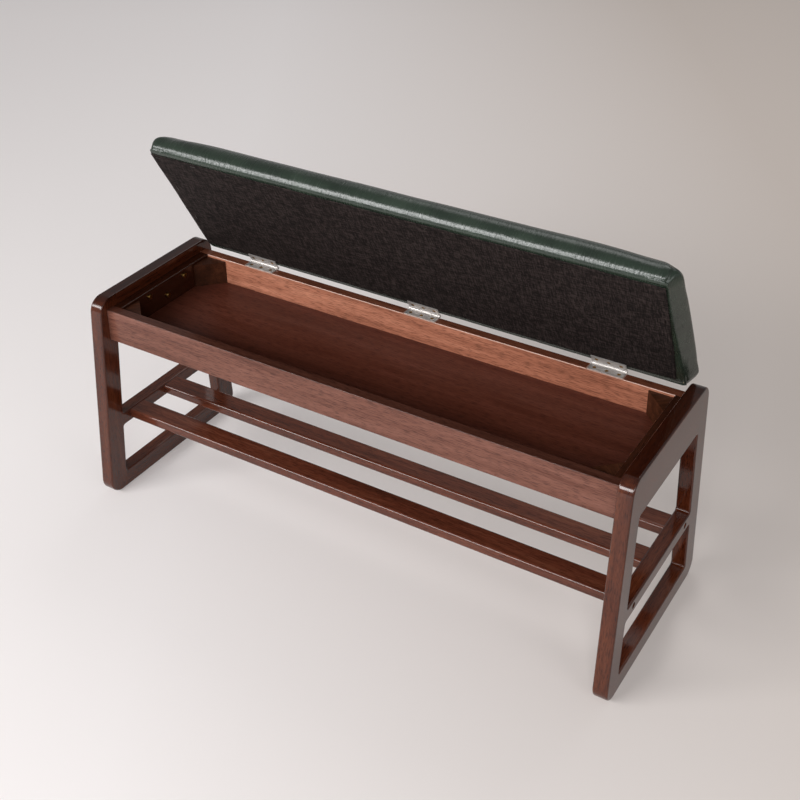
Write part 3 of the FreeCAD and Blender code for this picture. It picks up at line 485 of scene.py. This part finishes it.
def past_hem(place):
    """How far a place lies outside the hem's outline in plan, and which way is outwards there."""
    across = abs(place.x) - (HALF_LENGTH - CORNER)
    back = abs(place.y - MIDDLE) - ((REAR - FRONT) / 2 - CORNER)
    if min(across, back) > 0.0:
        far = math.hypot(across, back)
        outwards = Vector((across / far, back / far, 0.0))
    else:
        far = max(across, back)
        outwards = Vector((1.0, 0.0, 0.0)) if across > back else Vector((0.0, 1.0, 0.0))
    outwards.x = math.copysign(outwards.x, place.x)
    outwards.y = math.copysign(outwards.y, place.y - MIDDLE)
    return far - CORNER, outwards


def swell_sides(piece):
    """Draw the hem's edge crisp, which remeshing blunts, and let the sides bulge out above it."""
    for vertex in piece.data.vertices:
        past, outwards = past_hem(vertex.co)
        inside, under = past + ROUND_UNDER, ROUND_UNDER - (vertex.co.z - HEM)
        if inside > 0.0 and under > 0.0:
            tight = ROUND_UNDER / math.hypot(inside, under)
            vertex.co += outwards * inside * (tight - 1.0)
            vertex.co.z = HEM + ROUND_UNDER - under * tight
            past = inside * tight - ROUND_UNDER
        height = max(0.0, vertex.co.z - HEM)
        reach = min(1.0, max(0.0, 1.0 + past / ROUND_TOP))
        rise = min(1.0, height / (SHOULDER - HEM))
        at_front = FRONT_SWELL * rise * (2.0 - rise)
        at_end = (RIGHT_SWELL if outwards.x > 0.0 else LEFT_SWELL) * min(1.0, height / END_SHOULDER) ** 1.3
        vertex.co += outwards * (at_end * outwards.x ** 2 + at_front * outwards.y ** 2) * reach


swell_sides(cushion)


CORNER_DROP, DROP_SPREAD, DROP_END = 0.006, 0.055, 0.14
PLEAT_ANGLE = math.radians(50)      # round the corner, from the lid's end
PLEAT_DEPTH, PLEAT_WIDTH = 0.0026, 0.0014
LAYER_RISE, LAYER_WIDTH = 0.0011, 0.0035


def fold_corners(piece):
    """Pull the pad down at each corner and press in the pleat where the vinyl is folded over itself there."""
    for vertex in piece.data.vertices:
        for corner in CORNERS:
            across, back = corner_reach(vertex.co, corner)
            far = math.hypot(across - FOLD_ZONE, back - FOLD_ZONE)
            height = (vertex.co.z - HEM) / (TOP - HEM)
            if far > DROP_END or height < 0.05:
                continue
            vertex.co.z -= CORNER_DROP * math.exp(-(far / DROP_SPREAD) ** 2) * height
            if min(across, back) < 0.0:
                continue
            # the fold runs up the corner; the outer layer lies proud on one side of it
            reach = (math.atan2(back, across) - PLEAT_ANGLE) * FOLD_ZONE
            fade = max(0.0, 1.0 - height) ** 0.5 * min(1.0, height / 0.15)
            proud = LAYER_RISE * math.exp(-((reach - LAYER_WIDTH) / LAYER_WIDTH) ** 2)
            dent = PLEAT_DEPTH * math.exp(-(reach / PLEAT_WIDTH) ** 2)
            outward = Vector((across * corner[0], back * corner[1], 0.0)).normalized()
            vertex.co += outward * (proud - dent) * fade


fold_corners(cushion)


TUG_HEIGHT = 0.018                  # how far up the sides the staples' pull reaches
END_BAND = 0.012                    # the strip of the lid's ends that is pulled lengthways
WIDE_TUG, NARROW_TUG = 0.0018, 0.0006


def tug_hem(piece):
    """Shallow pulls along the stapled edge, where the vinyl is drawn under the board."""
    for vertex in piece.data.vertices:
        place = vertex.co
        low = max(0.0, 1.0 - (place.z - HEM) / TUG_HEIGHT)
        at_end = abs(place.x) > HALF_LENGTH - END_BAND
        along = place.y if at_end else place.x
        wide = noise.noise((along * 22.0, 2.0, 0.0)) * WIDE_TUG
        narrow = noise.noise((along * 80.0, 5.0, 0.0)) * NARROW_TUG
        if at_end:
            inside = Vector((-math.copysign(1.0, place.x), 0.0, 0.0))
        else:
            inside = Vector((0.0, math.copysign(1.0, MIDDLE - place.y), 0.0))
        vertex.co = place + inside * max(0.0, wide + narrow) * low


tug_hem(cushion)


HOLLOW = 0.0007                     # depth of the pad's unevenness


def soften_top(piece):
    """Slow hollows and rises of hand-laid padding, well under a millimetre."""
    for vertex in piece.data.vertices:
        x, y, z = vertex.co
        share = max(0.0, (z - HEM) / (TOP - HEM))
        vertex.co.z += HOLLOW * share * noise.noise((x * 11.0, y * 15.0, 3.0))


soften_top(cushion)
swing_open(cushion)
only(cushion)
bpy.ops.object.shade_smooth()
cushion.data.materials.clear()
cushion.data.materials.append(green_vinyl("embossed_green_vinyl"))
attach(cushion, "lid")
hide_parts("cushion_cover", "foam_pad")

# Dust cloth, cut a little unevenly and stapled flat under the board

CLOTH_X = (-0.4645, 0.4575)
CLOTH_Y = (-0.2772, -0.0150)
CLOTH_Z = 0.0021
CLOTH_SIZE = (CLOTH_X[1] - CLOTH_X[0], CLOTH_Y[1] - CLOTH_Y[0])
CLOTH_SLANT = 0.005                 # how far its right edge runs out of square, each way
CUT_BAND = 0.02                     # the strip along the edges that follows the uneven cut
WIDE_CUT, NARROW_CUT = 0.0016, 0.0006
SLACK = 0.0003
THREAD = 0.0005
bpy.ops.mesh.primitive_grid_add(x_subdivisions=228, y_subdivisions=66, size=1.0)
cloth = bpy.context.active_object
cloth.name = "dust_cloth"
cloth.scale = (*CLOTH_SIZE, 1.0)
cloth.location = ((CLOTH_X[0] + CLOTH_X[1]) / 2, (CLOTH_Y[0] + CLOTH_Y[1]) / 2, CLOTH_Z)
settle(cloth)
for vertex in cloth.data.vertices:
    x, y, z = vertex.co
    edge = min(x - CLOTH_X[0], CLOTH_X[1] - x, y - CLOTH_Y[0], CLOTH_Y[1] - y)
    near = max(0.0, 1.0 - edge / CUT_BAND)
    wide = noise.noise((x * 14.0, y * 14.0, 1.0)) * WIDE_CUT
    narrow = noise.noise((x * 45.0, y * 45.0, 4.0)) * NARROW_CUT
    cut = (wide + narrow) * near
    slack = noise.noise((x * 9.0, y * 20.0, 7.0)) * SLACK * (1.0 - near)
    slant = CLOTH_SLANT * max(0.0, x / CLOTH_X[1]) ** 4
    back = (2 * y - CLOTH_Y[0] - CLOTH_Y[1]) / CLOTH_SIZE[1]
    vertex.co = (x + cut - slant * back, y + cut - slant * max(0.0, back), z + slack)
thick = cloth.modifiers.new("thread", "SOLIDIFY")
thick.thickness = THREAD
thick.offset = 0.0
apply_all(cloth)
swing_open(cloth)
bpy.ops.object.shade_smooth()
cloth.data.materials.clear()
cloth.data.materials.append(dust_cloth("black_plain_weave"))
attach(cloth, "lid")
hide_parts("dust_cover")


# Floor, light and camera


def where_seen(owner):
    """A socket that is 1 where a surface is seen straight, mirrored or through glass, and 0 for its light."""
    ray = add(owner, "ShaderNodeLightPath")
    bare = add(owner, "ShaderNodeMath", {"operation": "MAXIMUM"}, {
        0: ray.outputs["Is Camera Ray"], 1: ray.outputs["Is Glossy Ray"]})
    seen = add(owner, "ShaderNodeMath", {"operation": "MAXIMUM"}, {
        0: bare.outputs["Value"], 1: ray.outputs["Is Transmission Ray"]})
    return seen.outputs["Value"]


def studio_floor(name):
    """Pale studio floor, a little darker to the right as painted shade of the light falling away across it.
    Where it is seen it is brighter than its light makes it, more so further back, as a lit paper sweep is."""
    paper = start_material(name)
    place = add(paper, "ShaderNodeTexCoord")
    # turned so that X runs away from the front and Y runs to the left
    turned = add(paper, "ShaderNodeMapping", inputs={
        "Vector": place.outputs["Object"], "Rotation": (0.0, 0.0, math.radians(-122))})
    way = add(paper, "ShaderNodeSeparateXYZ", inputs={"Vector": turned.outputs["Vector"]})
    fall = add(paper, "ShaderNodeMapRange", inputs={
        "Value": way.outputs["Y"], "From Min": 0.4, "From Max": -1.1})
    tone = ramp(add(paper, "ShaderNodeValToRGB", inputs={"Fac": fall.outputs["Result"]}),
                [(0.0, "#dcd7d6"), (1.0, "#c2b8b1")])
    glow = add(paper, "ShaderNodeMapRange", inputs={
        "Value": way.outputs["X"], "From Min": -0.5, "From Max": 3.0, "To Min": 0.23, "To Max": 0.40})
    lift = add(paper, "ShaderNodeMath", {"operation": "MULTIPLY"}, {
        0: where_seen(paper), 1: glow.outputs["Result"]})
    return close_material(paper, add(paper, "ShaderNodeBsdfPrincipled", inputs={
        "Base Color": tone.outputs["Color"], "Roughness": 0.9, "Specular IOR Level": 0.1,
        "Emission Color": tone.outputs["Color"], "Emission Strength": lift.outputs["Value"]}))


FLOOR_SIZE = 24.0
bpy.ops.mesh.primitive_plane_add(size=FLOOR_SIZE, location=(0.0, 0.0, 0.0))
floor = bpy.context.active_object
floor.name = "studio_floor"
floor.data.materials.append(studio_floor("paper_sweep"))

ROOM_LIGHT = 0.26
HORIZON_GLOW = 0.52                 # how bright the far end of the paper is where it is seen


def studio_room(name):
    """Even soft light from all round, and low down, where it is seen, the paper rising behind the floor."""
    room = bpy.data.worlds.new(name)
    room.use_nodes = True
    room.node_tree.nodes.clear()
    place = add(room, "ShaderNodeTexCoord")
    way = add(room, "ShaderNodeSeparateXYZ", inputs={"Vector": place.outputs["Generated"]})
    paper = add(room, "ShaderNodeMapRange", inputs={
        "Value": way.outputs["Z"], "From Min": 0.30, "From Max": 0.50,
        "To Min": HORIZON_GLOW, "To Max": ROOM_LIGHT})
    level = add(room, "ShaderNodeMix", {"data_type": "FLOAT"}, {
        "Factor": where_seen(room), "A": ROOM_LIGHT, "B": paper.outputs["Result"]})
    sky = add(room, "ShaderNodeBackground", inputs={
        "Color": colour("#e8e7e7"), "Strength": level.outputs["Result"]})
    add(room, "ShaderNodeOutputWorld", inputs={"Surface": sky.outputs["Background"]})
    return room


scene.world = studio_room("soft_room")


def softbox(name, place, aim, size, power):
    """A rectangular lamp at a place, turned to its aim, with its power in watts."""
    bpy.ops.object.light_add(type="AREA", location=place)
    lamp = bpy.context.active_object
    lamp.name = name
    lamp.data.shape = "RECTANGLE"
    lamp.data.size, lamp.data.size_y = size
    lamp.data.energy = power
    lamp.rotation_euler = (Vector(aim) - Vector(place)).to_track_quat("-Z", "Y").to_euler()


softbox("key_softbox", (-1.5, -2.8, 1.9), (0.0, 0.0, 0.3), (2.6, 1.0), 108.0)
softbox("front_fill", (1.3, -2.4, 1.7), (0.2, 0.0, 0.35), (1.0, 1.0), 27.0)
softbox("end_fill", (2.6, -1.2, 1.4), (0.5, 0.0, 0.3), (1.2, 1.0), 9.0)
softbox("rear_softbox", (-0.1, 1.8, 2.6), (-0.1, 1.2, 0.0), (2.4, 1.0), 14.0)

# camera fitted to the bench's edges in the photograph
FRAME_PIXELS = 800.0
SENSOR_MM = 36.0
CAMERA_PLACE = Vector((0.9661, -1.5039, 1.4808))
YAW, PITCH, ROLL = math.radians(32.16), math.radians(28.755), math.radians(-0.713)
FOCAL_PIXELS = 1288.67
AXIS_PIXEL = (391.57, 280.49)
ahead = Vector((-math.sin(YAW) * math.cos(PITCH), math.cos(YAW) * math.cos(PITCH), -math.sin(PITCH)))
level = Vector((math.cos(YAW), math.sin(YAW), 0.0))
upright = level.cross(ahead)
right = level * math.cos(ROLL) + upright * math.sin(ROLL)
up = upright * math.cos(ROLL) - level * math.sin(ROLL)
bpy.ops.object.camera_add(location=CAMERA_PLACE)
camera = bpy.context.active_object
camera.rotation_euler = Matrix((right, up, -ahead)).transposed().to_euler()
camera.data.sensor_width = SENSOR_MM
camera.data.lens = FOCAL_PIXELS * SENSOR_MM / FRAME_PIXELS
camera.data.shift_x = (FRAME_PIXELS / 2 - AXIS_PIXEL[0]) / FRAME_PIXELS
camera.data.shift_y = (AXIS_PIXEL[1] - FRAME_PIXELS / 2) / FRAME_PIXELS
scene.camera = camera

scene.view_settings.view_transform = "Standard"
